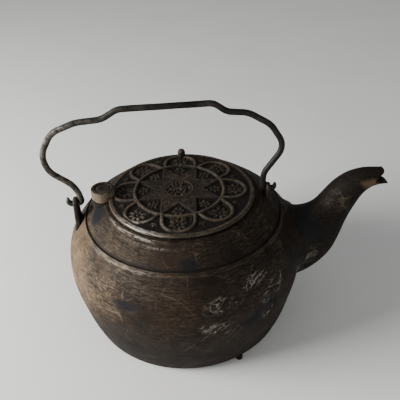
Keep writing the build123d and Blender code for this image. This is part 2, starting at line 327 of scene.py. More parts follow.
# ------------------------------------------------------------------ spout
def beak_stands(x, y, z):
    """True where the wall of the open beak is left standing, with rounded lips."""
    rise = (z - NOTCH[1]) / (UPPER_LIP[1] - NOTCH[1])
    corner = LIP_RUN * (1 - np.sqrt(1 - np.clip((z - LIP_TOP) / LIP_DROP + 1, 0, 1) ** 2))
    corner = corner + LIP_SIDES * np.clip(np.abs(y) / UPPER_HALF_WIDTH, 0, 1) ** 2.4
    upper = NOTCH[0] + (UPPER_LIP[0] - NOTCH[0]) * np.sqrt(np.clip(rise, 0, 1)) - corner
    reach = (x - NOTCH[0]) / (LOWER_LIP[0] - NOTCH[0])
    lower = NOTCH[1] - (NOTCH[1] - LOWER_LIP[1]) * np.clip(reach, 0, 1) ** 1.9
    limit = LOWER_HALF_WIDTH * np.sqrt(np.clip(1 - reach ** 3, 0, 1))
    below = (z <= lower) & (np.abs(y) <= limit) & (x <= LOWER_LIP[0])
    return np.where(z > NOTCH[1], x <= upper, below) | (x < NOTCH[0])


def make_spout():
    at, length = spline(SPOUT)
    cols, rows = 120, 150
    theta = np.linspace(0, 2 * math.pi, cols, endpoint=False)
    ladder = np.linspace(0, 1, rows)[:, None]

    def surface(u, depth):
        """Points of the outer wall at depth 0 and of the bore at depth 1."""
        s = at(u)
        thick = depth * (3.4 - 1.2 * u / length)
        head = np.radians(s[..., 4])
        high = (s[..., 2] - thick) * np.cos(theta)
        wide = (s[..., 3] - thick) * np.sin(theta)
        return s[..., 0] - high * np.sin(head), wide, s[..., 1] + high * np.cos(head)

    def stations(start, depth):
        """How far along each row of points lies, from start to the edge of the beak."""
        lo, hi = np.full(cols, length * 0.80), np.full(cols, length)
        for _ in range(40):
            mid = (lo + hi) / 2
            stands = beak_stands(*surface(mid, depth))
            lo, hi = np.where(stands, mid, lo), np.where(stands, hi, mid)
        return start + (lo - start)[None, :] * ladder

    u = stations(SPOUT_START, 0.0)
    x, y, z = surface(u, 0.0)
    over = height_over_body(x, y, z)
    flare = swell(over, z) * smoothstep(-7.0, -1.5, over) * (ladder < SPOUT_ROOT)
    points = np.stack([x, y, z], 2)
    rough = 0.22 * lumps(points, 26, 3, 2) + 0.06 * lumps(points, 7, 4, 3)
    rough *= 1 - smoothstep(0.9, 1.0, ladder)
    keel = 0.7 * np.exp(-((np.abs(theta - math.pi) - 0.55) / 0.14) ** 2) \
        * smoothstep(0.12, 0.3, ladder) * (1 - smoothstep(0.6, 0.85, ladder))
    out = flare + rough + keel
    head = np.radians(at(u)[..., 4])
    outer = np.stack([x - np.cos(theta) * np.sin(head) * out, y + np.sin(theta) * out,
                      z + np.cos(theta) * np.cos(head) * out], 2)
    bore = np.stack(surface(stations(BORE_START, 1.0), 1.0), 2)[::-1]
    outwards = outer[-1] - outer[-3]
    outwards = 0.5 * outwards / np.maximum(np.linalg.norm(outwards, axis=1), 1e-6)[:, None]
    rim = (outer[-1] + bore[0]) / 2 + outwards
    return grid_mesh("spout_casting", np.concatenate([outer, rim[None], bore]), wrap=True)


# ------------------------------------------------------------------ ears
def fillet_offset(distance, radius):
    """How far a wall flares out where it comes down onto another surface."""
    d = np.clip(distance, -0.6, radius)
    inward = radius - np.maximum(d, 0)
    return radius - np.sqrt(np.maximum(radius ** 2 - inward ** 2, 0)) - np.minimum(d, 0)


def make_ear(name, hinge, top, foot_z):
    """Upright lug: rings run from the hole out over the rounded edge and back."""
    cols = 72
    x0, z0 = hinge
    slope = (10.0 - top) / 34.0
    spokes = []
    for j in range(cols):
        a = 2 * math.pi * j / cols
        dy, dz = math.sin(a), math.cos(a)
        reach = top
        if dz < 0:
            reach = min((z0 - foot_z) / -dz, top / max(abs(dy) - slope * -dz, 1e-6))
        spokes.append((dy, dz, reach))

    def ring(depth, radii):
        return [(x0 + depth, dy * radius, z0 + dz * radius)
                for (dy, dz, _), radius in zip(spokes, radii)]

    # the hole's edge as (depth below the face, how much wider than the hole)
    hole_edge = ((0.5, 0.0), (0.12, 0.19), (0.0, HOLE_FLARE))
    rings = [ring(-EAR_HALF + sunk, [HOLE_RADIUS + wider] * cols) for sunk, wider in hole_edge]
    for share, depth, rounding in (
            (0.6, -EAR_HALF, 0), (1.0, -EAR_HALF, EAR_ROUNDING), (1.0, -EAR_HALF * 0.5, 0),
            (1.0, 0.0, 0),
            (1.0, EAR_HALF * 0.5, 0), (1.0, EAR_HALF, EAR_ROUNDING), (0.6, EAR_HALF, 0)):
        radii = [HOLE_RADIUS + HOLE_FLARE + (reach - HOLE_RADIUS - HOLE_FLARE) * share - rounding
                 for _, _, reach in spokes]
        rings.append(ring(depth, radii))
    rings += [ring(EAR_HALF - sunk, [HOLE_RADIUS + wider] * cols)
              for sunk, wider in hole_edge[::-1]]

    points = np.array(rings)
    x, y, z = points[..., 0], points[..., 1], points[..., 2]
    over = height_over_body(x, y, z)
    away = smoothstep(3.6, 6.2, np.hypot(y, z - z0))
    flare = np.minimum(fillet_offset(over, EAR_FILLET), EAR_FILLET) * away
    y += np.sign(y) * flare * 0.8
    x += np.sign(x - x0) * flare * 0.5
    y += away * 0.12 * lumps(points, 5, 6, 2)
    wear = [0.3, 0.4, 0.5, 0.4, 0.8, 0.6, 0.5, 0.6, 0.8, 0.4, 0.5, 0.4, 0.3]
    return grid_mesh(name, points, wrap=True, wear=wear)


# ------------------------------------------------------------------ bail
def rounded_path(corners, step=1.2):
    """Points along a run of corners (x, z, bend radius), at most about step apart."""
    spots = [np.array(corner[:2], float) for corner in corners]
    points = [spots[0]]
    for a, b, c, (_, _, radius) in zip(spots, spots[1:], spots[2:], corners[1:]):
        u, v = (a - b) / np.linalg.norm(a - b), (c - b) / np.linalg.norm(c - b)
        half = math.acos(max(-1, min(1, float(u @ v)))) / 2
        cut = radius / math.tan(half)
        centre = b + (u + v) / np.linalg.norm(u + v) * radius / math.sin(half)
        p, q = b + u * cut - centre, b + v * cut - centre
        turn = math.atan2(p[0] * q[1] - p[1] * q[0], float(p @ q))
        count = max(5, int(abs(turn) * radius / step))
        for k in range(count + 1):
            w = turn * k / count
            points.append(centre + np.array([p[0] * math.cos(w) - p[1] * math.sin(w),
                                             p[0] * math.sin(w) + p[1] * math.cos(w)]))
    points.append(spots[-1])
    dense = [points[0]]
    for q in points[1:]:
        start = dense[-1]
        count = max(1, int(np.linalg.norm(q - start) / step))
        dense += [start + (q - start) * (k / count) for k in range(1, count + 1)]
    return np.array(dense)


def bail_route():
    tilt = (FRONT[1] - REAR[1]) / (FRONT[0] - REAR[0])
    hooks = []
    for (x, z), leg, inward, tip in ((REAR, HOOK_LEG_REAR, 1, HOOK_TIP_REAR),
                                     (FRONT, HOOK_LEG_FRONT, -1, HOOK_TIP_FRONT)):
        inner = (x + inward * leg, z + inward * leg * tilt, HOOK_BEND)
        outer = (x - inward * leg, z - inward * leg * tilt, HOOK_BEND)
        hooks.append([(outer[0] - inward * 0.4, outer[1] + tip, 0), outer, inner])
    return rounded_path(hooks[0] + BAIL + hooks[1][::-1])


def make_bail():
    path = bail_route()
    cols = 28
    across = np.array([0, 1.0, 0])
    tangent = np.gradient(path, axis=0)
    tangent /= np.linalg.norm(tangent, axis=1)[:, None]
    run = np.concatenate([[0], np.cumsum(np.linalg.norm(np.diff(path, axis=0), axis=1))])
    free = smoothstep(20, 45, run) * smoothstep(20, 45, run[-1] - run)
    centre = np.stack([path[:, 0], np.zeros(len(path)), path[:, 1]], 1)
    centre[:, 1] += free * 1.1 * lumps(centre, 42, 8, 2)
    radius = ROD_RADIUS * np.ones(len(path))
    radius += free * 0.13 * lumps(centre, 14, 9, 2)
    for gap in (run, run[-1] - run):
        taper = ROD_TIP_RADIUS + (ROD_RADIUS - ROD_TIP_RADIUS) * smoothstep(-1.2, 6.0, gap)
        radius = np.minimum(radius, taper)
    rings = []
    for middle, (run_x, run_z), thick in zip(centre, tangent, radius):
        normal = np.array([-run_z, 0, run_x])
        rings.append([middle + thick * (math.cos(a) * normal + math.sin(a) * across)
                      for a in (2 * math.pi * j / cols for j in range(cols))])
    rings = np.array(rings)
    outward = rings - centre[:, None]
    bumps = 0.05 * lumps(rings, 3.2, 12, 2) * free[:, None]
    rings += outward / np.linalg.norm(outward, axis=2)[..., None] * bumps[..., None]

    # a dome of three rings closes each end
    domes = []
    for k, sign in ((0, -1), (-1, 1)):
        out = np.array([tangent[k][0], 0, tangent[k][1]]) * sign
        domes.append([centre[k] + (rings[k] - centre[k]) * share + out * lift
                      for lift, share in ((0.35, 0.9), (0.65, 0.6), (0.8, 0.2))])
    return grid_mesh("bail_rod", np.concatenate([domes[0][::-1], rings, domes[1]]))


# ------------------------------------------------------------------ lid
def bump(distance, width, height):
    """Rounded raised line at the given distance from its middle."""
    return height * np.sqrt(np.clip(1 - (distance / width) ** 2, 0, 1))


def flower(x, y, lobes, reach, seed, heart):
    """Small cast blossom: long lobes round a button, as a height field."""
    r = np.hypot(x, y)
    step = 2 * math.pi / lobes
    a = (np.arctan2(y, x) + seed) % step - step / 2
    middle = 0.62 * reach
    across = r * np.sin(a) / (middle * math.sin(step / 2) * 0.90)
    out = (r * np.cos(a) - middle) / (0.37 * reach)
    lobe = np.sqrt(np.clip(1 - across ** 2 - out ** 2, 0, 1))
    return np.maximum(1.15 * lobe, bump(r, heart, 1.2))


def petal_distance(x, y):
    """Signed distance from the outline of one petal that points along +Y."""
    centre = PETAL_REACH - PETAL_HALF
    straight = np.abs(x) - PETAL_HALF
    round_end = np.hypot(x, y - centre) - PETAL_HALF
    return np.where(y > centre, round_end, straight)


def star_distance(x, y):
    """Signed distance from the outline of the eight-pointed star, negative inside."""
    a = np.arctan2(x, y)
    a = np.abs((a + SECTOR / 2) % SECTOR - SECTOR / 2)
    r = np.hypot(x, y)
    px, py = r * np.cos(a), r * np.sin(a)
    inner = np.array([STAR_INNER_R, 0.0])
    tip = np.array([RING_R * math.cos(SECTOR / 2), RING_R * math.sin(SECTOR / 2)])
    d = tip - inner
    n = np.array([d[1], -d[0]]) / np.hypot(*d)
    return (px - inner[0]) * n[0] + (py - inner[1]) * n[1]


def turned(x, y, angle):
    c, s = np.cos(angle), np.sin(angle)
    return x * c - y * s, x * s + y * c


def petal_buds(x, y):
    """The blossoms and buds inside one petal that points along +Y."""
    buds = flower(x, y - 54.0, 8, 9.4, 0.2, 1.5)
    for bud_x, bud_y in ((-9.2, 57.5), (9.2, 57.5), (0.0, 45.6)):
        buds = np.maximum(buds, bump(np.hypot(x - bud_x, y - bud_y), 1.3, 0.9))
    for side in (-5.2, 5.2):
        buds = np.maximum(buds, flower(x + side, y - 46.6, 5, 3.0, 0.0, 0.8))
    return buds


def sprig(x, y):
    """Three leaves that fan out between two petals."""
    height = np.zeros_like(x)
    for lean, length in ((-0.75, 5.0), (0.0, 6.5), (0.75, 5.0)):
        leaf_x, leaf_y = turned(x, y - 55.5, lean)
        leaf = 1 - (leaf_x / 1.5) ** 2 - ((leaf_y - length / 2) / (length / 2)) ** 2
        height = np.maximum(height, 0.85 * np.sqrt(np.clip(leaf, 0, 1)))
    return height


def rose_grains(x, y, inside):
    """The close round grains of the middle rosette."""
    grains = np.zeros_like(x)
    for i in np.flatnonzero(inside):
        spot = Vector((x.flat[i], y.flat[i], 0)) / 2.7
        gap = noise.voronoi(spot, distance_metric="DISTANCE")[0][0]
        grains.flat[i] = math.sqrt(max(0.0, 1 - (gap / 0.62) ** 2))
    return 1.35 * grains


def relief(x, y):
    """Height of the cast pattern over the plain dome and how rubbed each point is, mm."""
    u, v = turned(x - RELIEF_X, y, -RELIEF_TURN)
    r = np.hypot(u, v)
    a = np.arctan2(u, v)
    px, py = turned(u, v, np.round(a / SECTOR) * SECTOR)
    qx, qy = turned(u, v, (np.floor(a / SECTOR) + 0.5) * SECTOR)
    petal = petal_distance(px, py)
    star = star_distance(u, v)
    outside_ring = r > RING_R
    in_petal = (petal < 0) & outside_ring
    in_field = (~outside_ring) & (star > 0)
    in_star = (star <= 0) & (r > 14.5)
    in_rose = r < ROSE_R

    # raised lines: the petals, the ring and the star
    lines = np.maximum(np.where(outside_ring, bump(petal, 1.9, 1.35), 0),
                       bump(r - RING_R, 1.75, 1.35))
    wear = lines / 1.6
    star_top = 0.55 * (1 - smoothstep(-0.5, 0.5, star))
    h = np.where(r < RING_R - 1, np.maximum(lines, star_top), lines)
    crisp = np.where(r < RING_R, np.exp(-(star / 0.75) ** 2), 0)
    h = h + 0.25 * crisp * (star < 0.9)
    wear = np.maximum(wear, 0.75 * crisp * smoothstep(-0.3, 0.6, np.sin(a * 1.5 + 0.6)))

    # small pattern on the sunk grounds between them
    inner_line = np.where(outside_ring, bump(petal + 3.4, 0.7, 0.55), 0)
    pattern = np.where(in_petal, np.maximum(petal_buds(px, py), inner_line), 0)
    pattern = np.where(outside_ring & (petal > 1.2), np.maximum(pattern, sprig(qx, qy)), pattern)
    field = np.maximum(flower(px, py - 34.8, 6, 6.2, 0.5, 1.3),
                       bump(np.hypot(px, py - 27.6), 1.2, 0.9))
    pattern = np.where(in_field, np.maximum(pattern, field * (star > 0.8)), pattern)
    ground = np.where(in_petal | in_field, SUNK, -0.15)

    # the rosette in the middle
    ground = np.where(r < 14.2, -0.4, ground)
    h = np.where(r < 14.2, 0, h)
    pattern = np.where(in_rose, rose_grains(u, v, in_rose), pattern)
    rose_ring = bump(r - ROSE_RING_R, 0.9, 0.9)
    h = np.maximum(h, rose_ring)
    wear = np.maximum(wear, rose_ring * (0.45 + 0.55 * smoothstep(-1, 1, np.cos(a - 2.0))))
    wear = np.maximum(wear, np.clip(pattern, 0, 1.2) * 0.55)
    h = np.where(h > 0.05, np.maximum(h, 0), ground + pattern * 0.85)
    wear = np.where(in_star, np.maximum(wear, 0.48), wear)
    return h, wear


def make_lid():
    angle, r, points = revolve([(radius, 0.0) for radius in np.linspace(0.4, LID_R - 0.9, 150)],
                               900, (LID_X, 0.0))
    x, y, z = points[..., 0], points[..., 1], points[..., 2]
    grain = 0.16 * lumps(points, 1.9, 21, 3)
    wobble = 0.2 * lumps(points, 30, 22, 2) * (1 - smoothstep(60, 70, r))
    h, wear = relief(x, y)
    inside_rim = 1 - smoothstep(64.0, 66.5, r)
    rim = bump(r - LID_RIM_R, 1.9, 0.55)
    dome = LID_EDGE + (LID_CROWN - LID_EDGE) * (1 - (r / LID_R) ** 2)
    z += dome + h * inside_rim + grain + wobble + rim
    layers = [points]
    marks = [np.maximum(wear * inside_rim, rim / 0.55 * 0.8)]
    for radius, height, mark in (
            (LID_R - 0.35, LID_EDGE - 0.15, 0.9), (LID_R, LID_EDGE - 0.6, 0.7),
            (LID_R, LID_UNDER + 0.9, 0.2), (LID_R - 0.5, LID_UNDER + 0.1, 0),
            (LID_R - 1.5, LID_UNDER, 0), (40.0, LID_UNDER, 0), (0.4, LID_UNDER, 0)):
        nick = 0.10 * np.sin(angle * 5 + 1) * (radius > 60)
        edge = radius - abs(nick)
        layers.append(np.stack([LID_X + edge * np.cos(angle), edge * np.sin(angle),
                                np.full(len(angle), height)], 1)[None])
        marks.append(np.full((1, len(angle)), mark))
    return grid_mesh("lid_casting", np.concatenate(layers), wear=np.concatenate(marks))


def turned_piece(name, profile, centre, cols, uneven, seed, wear):
    """A piece turned about a vertical axis, a little out of round."""
    _, r, points = revolve(profile, cols, centre)
    scale = 1 + uneven * lumps(points, 6, seed, 2) / np.maximum(r, 2)
    for axis in (0, 1):
        points[..., axis] = centre[axis] + (points[..., axis] - centre[axis]) * scale
    return grid_mesh(name, points, wear=wear)


def make_eye():
    profile = [(4.05, 142.5), (10.6, 142.5), (11.4, 143.2), (11.5, 144.2), (11.45, 149),
               (11.5, 152.6), (11.25, 153.5), (10.6, 153.95), (9.2, 154.0), (8.1, 153.9),
               (7.65, 153.4), (7.6, 152.4), (7.55, 151.7), (7.2, 151.6), (4.05, 151.6)]
    # the high wear values on the side paint it pale: painted light on the side that faces the
    # window
    wear = [0.2, 0.4, 0.65, 0.8, 0.85, 0.8, 0.5, 0.3, 0.2, 0.35, 0.1, 0, 0, 0, 0]
    _, r, points = revolve(profile, 120, PIVOT)
    out = points[..., :2] - np.array(PIVOT)
    push = 0.10 * lumps(points, 6, 31, 2) * (r > 8)
    reach = np.maximum(np.hypot(out[..., 0], out[..., 1]), 1)
    points[..., :2] += out / reach[..., None] * push[..., None]
    return grid_mesh("lid_eye", points, wrap=True, wear=wear)


def make_web():
    """The flat bridge that carries the eye from the disc, with rounded edges."""
    rows = []
    for t in np.linspace(0, 1, 14):
        x = PIVOT[0] + 1.5 + t * 20.5
        width = 8.1 * (1 - 0.10 * math.sin(math.pi * t)) + 5.5 * t ** 3
        top = LID_EDGE - 0.1 + 0.25 * t
        ring = [(-width, LID_UNDER + 0.1), (-width, top - 0.9), (-width + 0.3, top - 0.3),
                (-width + 1.0, top), (0, top + 0.1), (width - 1.0, top),
                (width - 0.3, top - 0.3), (width, top - 0.9), (width, LID_UNDER + 0.1),
                (0, LID_UNDER + 0.1)]
        rows.append([(x, PIVOT[1] * (1 - t) + y, z) for y, z in ring])
    return grid_mesh("lid_web", np.array(rows), wear=[0.3] * len(rows))


def make_nub():
    profile = [(4.3, 144.6), (4.15, 146.0), (4.0, 147.6), (3.95, 150.6), (3.85, 152.0),
               (3.4, 153.4), (2.5, 154.4), (1.3, 154.9), (0.3, 155.0)]
    wear = [0, 0.1, 0.2, 0.3, 0.4, 0.55, 0.65, 0.7, 0.7]
    return turned_piece("lid_nub", profile, NUB, 48, 0.16, 41, wear)


def make_rivet():
    profile = [(0.3, 131.4), (4.8, 131.45), (6.0, 132.0), (6.3, 133.0), (5.9, 133.6),
               (3.98, 133.65), (3.98, 151.7), (7.0, 151.75), (7.2, 152.1), (7.15, 152.7),
               (6.6, 153.2), (5.0, 153.45), (3.1, 153.3), (2.0, 153.05), (0.3, 153.0)]
    wear = [0.2] * 9 + [0.6, 0.8, 0.6, 0.3, 0.2, 0.2]
    return turned_piece("pivot_rivet_head", profile, PIVOT, 72, 0.10, 51, wear)


body = make_body()
cut_passage(body)
spout = make_spout()
rear_ear = make_ear("rear_lug", REAR, 6.7, 112.6)
front_ear = make_ear("front_lug", FRONT, 6.0, 132.5)
bail = make_bail()
lid = make_lid()
eye = make_eye()
web = make_web()
nub = make_nub()
rivet = make_rivet()


# ------------------------------------------------------------------ materials
class Shader:
    """Short hand for building a node material."""

    def __init__(self, name, metallic=0.0, specular=0.5):
        self.material = bpy.data.materials.new(name)
        self.material.use_nodes = True
        self.tree = self.material.node_tree
        self.surface = self.tree.nodes["Principled BSDF"]
        self.surface.inputs["Metallic"].default_value = metallic
        self.surface.inputs["Specular IOR Level"].default_value = specular
        self.coords = self.tree.nodes.new("ShaderNodeTexCoord").outputs["Object"]

    def node(self, kind, **values):
        made = self.tree.nodes.new(kind)
        for key, value in values.items():
            setattr(made, key, value)
        return made

    def feed(self, socket, value):
        """Give a socket a number, a colour or another node's output."""
        if isinstance(value, (int, float)):
            socket.default_value = value
        elif isinstance(value, tuple):
            socket.default_value = value + (1,)
        else:
            self.tree.links.new(value, socket)

    def mapped(self, scale=(1, 1, 1), turn=(0, 0, 0), shift=(0, 0, 0), kind="POINT"):
        """The object's coordinates, scaled and then turned and shifted."""
        n = self.node("ShaderNodeMapping", vector_type=kind)
        n.inputs["Scale"].default_value = scale
        n.inputs["Rotation"].default_value = turn
        n.inputs["Location"].default_value = shift
        self.feed(n.inputs["Vector"], self.coords)
        return n.outputs[0]

    def slanted(self, turn, stretch):
        """The object's coordinates turned first and then stretched, for slanting marks."""
        return self.mapped(stretch, turn, kind="TEXTURE")

    def noise(self, scale, detail, rough, vector=None, distort=0.0):
        n = self.node("ShaderNodeTexNoise")
        n.inputs["Scale"].default_value = scale
        n.inputs["Detail"].default_value = detail
        n.inputs["Roughness"].default_value = rough
        n.inputs["Distortion"].default_value = distort
        self.feed(n.inputs["Vector"], vector or self.coords)
        return n.outputs["Fac"]

    def ramp(self, value, *stops):
        n = self.node("ShaderNodeValToRGB")
        ramp = n.color_ramp
        while len(ramp.elements) < len(stops):
            ramp.elements.new(0.5)
        for element, (place, colour) in zip(ramp.elements, stops):
            element.position = place
            if isinstance(colour, (int, float)):
                colour = (colour,) * 3
            element.color = tuple(colour) + (1,)
        self.feed(n.inputs["Fac"], value)
        return n.outputs["Color"]

    def math(self, kind, *values):
        n = self.node("ShaderNodeMath", operation=kind)
        for socket, value in zip(n.inputs, values):
            self.feed(socket, value)
        return n.outputs[0]

    def times(self, first, *others):
        for other in others:
            first = self.math("MULTIPLY", first, other)
        return first

    def away(self, value, middle):
        """How far a value lies from the middle, either way."""
        return self.math("ABSOLUTE", self.math("SUBTRACT", value, middle))

    def mix(self, factor, a, b, blend="MIX"):
        n = self.node("ShaderNodeMix", data_type="RGBA", blend_type=blend)
        for index, value in ((0, factor), (6, a), (7, b)):
            self.feed(n.inputs[index], value)
        return n.outputs[2]

    def tinted(self, colour, tint):
        return self.mix(1.0, colour, tint, "MULTIPLY")

    def place(self):
        """X, Y and Z of the object's own coordinates, in metres."""
        n = self.node("ShaderNodeSeparateXYZ")
        self.feed(n.inputs[0], self.coords)
        return n.outputs

    def radius(self):
        """Distance from the body's axis, in metres."""
        x, y, _ = self.place()
        return self.math("SQRT", self.math("ADD", self.times(x, x), self.times(y, y)))

    def patch(self, centre, size, ragged, scale):
        """A soft-edged uneven patch at a place in the object's coordinates, 0 to 1."""
        offset = self.node("ShaderNodeVectorMath", operation="SUBTRACT")
        self.feed(offset.inputs[0], self.coords)
        offset.inputs[1].default_value = tuple(c * MM for c in centre)
        share = self.node("ShaderNodeVectorMath", operation="DIVIDE")
        self.feed(share.inputs[0], offset.outputs[0])
        share.inputs[1].default_value = tuple(s * MM for s in size)
        length = self.node("ShaderNodeVectorMath", operation="LENGTH")
        self.feed(length.inputs[0], share.outputs[0])
        uneven = self.math("SUBTRACT", self.noise(scale, 5, 0.65), 0.5)
        edge = self.math("ADD", length.outputs["Value"], self.times(uneven, 2 * ragged))
        return self.ramp(edge, (0.45, 1.0), (1.0, 0.0))

    def scratches(self, scale, thin, seed):
        """Fine curving scores: the contour lines of a smooth noise."""
        value = self.noise(scale, 1, 0.4, self.mapped(shift=(seed, seed, seed)), 0.5)
        return self.ramp(self.away(value, 0.5), (0.0, 1.0), (thin, 0.0))

    def brushed_arcs(self, scale, sweep):
        """Brushed arcs about the body's axis: fine over radius and height, slower round it."""
        x, y, z = self.place()
        wander = self.times(self.noise(22, 3, 0.5), 5.0)
        n = self.node("ShaderNodeCombineXYZ")
        self.feed(n.inputs[0], self.math("ADD", self.times(self.radius(), scale), wander))
        self.feed(n.inputs[1], self.math("ADD", self.times(z, scale), wander))
        self.feed(n.inputs[2], self.times(self.math("ARCTAN2", y, x), sweep))
        return self.noise(1.0, 6, 0.68, n.outputs[0])

    def ring_mask(self, radius, width):
        """1 along a circle about the body's axis, fading over width, both in mm."""
        away = self.away(self.radius(), radius * MM)
        return self.ramp(self.times(away, 1 / (width * MM)), (0.35, 1.0), (1.0, 0.0))

    def finish(self, colour, rough, height=None, distance=0.3, strength=0.6):
        self.feed(self.surface.inputs["Base Color"], colour)
        self.feed(self.surface.inputs["Roughness"], rough)
        if height is not None:
            n = self.node("ShaderNodeBump")
            n.inputs["Strength"].default_value = strength
            n.inputs["Distance"].default_value = distance * MM
            self.feed(n.inputs["Height"], height)
            self.feed(self.surface.inputs["Normal"], n.outputs[0])
        return self.material


def scaled(colour, factor):
    return tuple(c * factor for c in colour)


DARK = (0.0085, 0.0060, 0.0042)
BROWN = (0.0330, 0.0222, 0.0140)
WARM = (0.078, 0.049, 0.027)
# pale colour of painted highlights
PALE = (0.158, 0.116, 0.076)
GLINT_PALE = (0.34, 0.31, 0.27)
LIME = (0.29, 0.26, 0.22)
BLUE = (0.0050, 0.0055, 0.0072)
LOW_DARK = (0.0110, 0.0080, 0.0052)
TIP_TAN = (0.135, 0.088, 0.044)

# marks on the body casting, in mm: patches are (centre, size)
# painted highlights along the edges of the collar, shoulder and ridge
HIGHLIGHT_RINGS = (
    # radius, width, patch and amount
    (75.4, 2.0, (-48, -56, 141), (44, 30, 9), 1.0),
    (80.5, 1.5, (-34, -68, 139), (34, 22, 9), 0.45),
    (98.2, 1.5, (-62, -76, 126), (52, 62, 9), 0.65))
LIME_PATCHES = (
    ((79, -83, 93), (13, 14, 14)), ((73, -90, 84), (9, 12, 16)), ((44, -106, 67), (20, 10, 6)),
    ((22, -112, 74), (22, 10, 7)), ((28, -109, 100), (19, 10, 9)), ((74, -90, 68), (10, 10, 8)),
    ((112, -34, 76), (11, 16, 18)), ((128, -20, 76), (11, 14, 16)), ((60, -90, 108), (24, 12, 6)))
# dark blue-black smears; the two at (-84, -24, 136) and (-80, -12, 138), on the shoulder under the
# lid's eye, are painted shade
DARK_SMEARS_AND_SHADE = (
    ((75, -90, 78), (13, 12, 9)), ((67, -96, 74), (13, 12, 8)), ((58, -101, 70), (13, 12, 7)),
    ((52, -104, 66), (10, 12, 5)), ((-60, -88, 28), (26, 22, 10)), ((-84, -24, 136), (16, 18, 8)),
    ((-80, -12, 138), (12, 16, 7)), ((2, -91, 129), (11, 10, 9)), ((-50, -98, 96), (26, 12, 6)),
    ((112, -32, 84), (12, 16, 16)))
SCORES = ((13, 3.1), (17, 7.7), (10, 5.3), (23, 9.2))


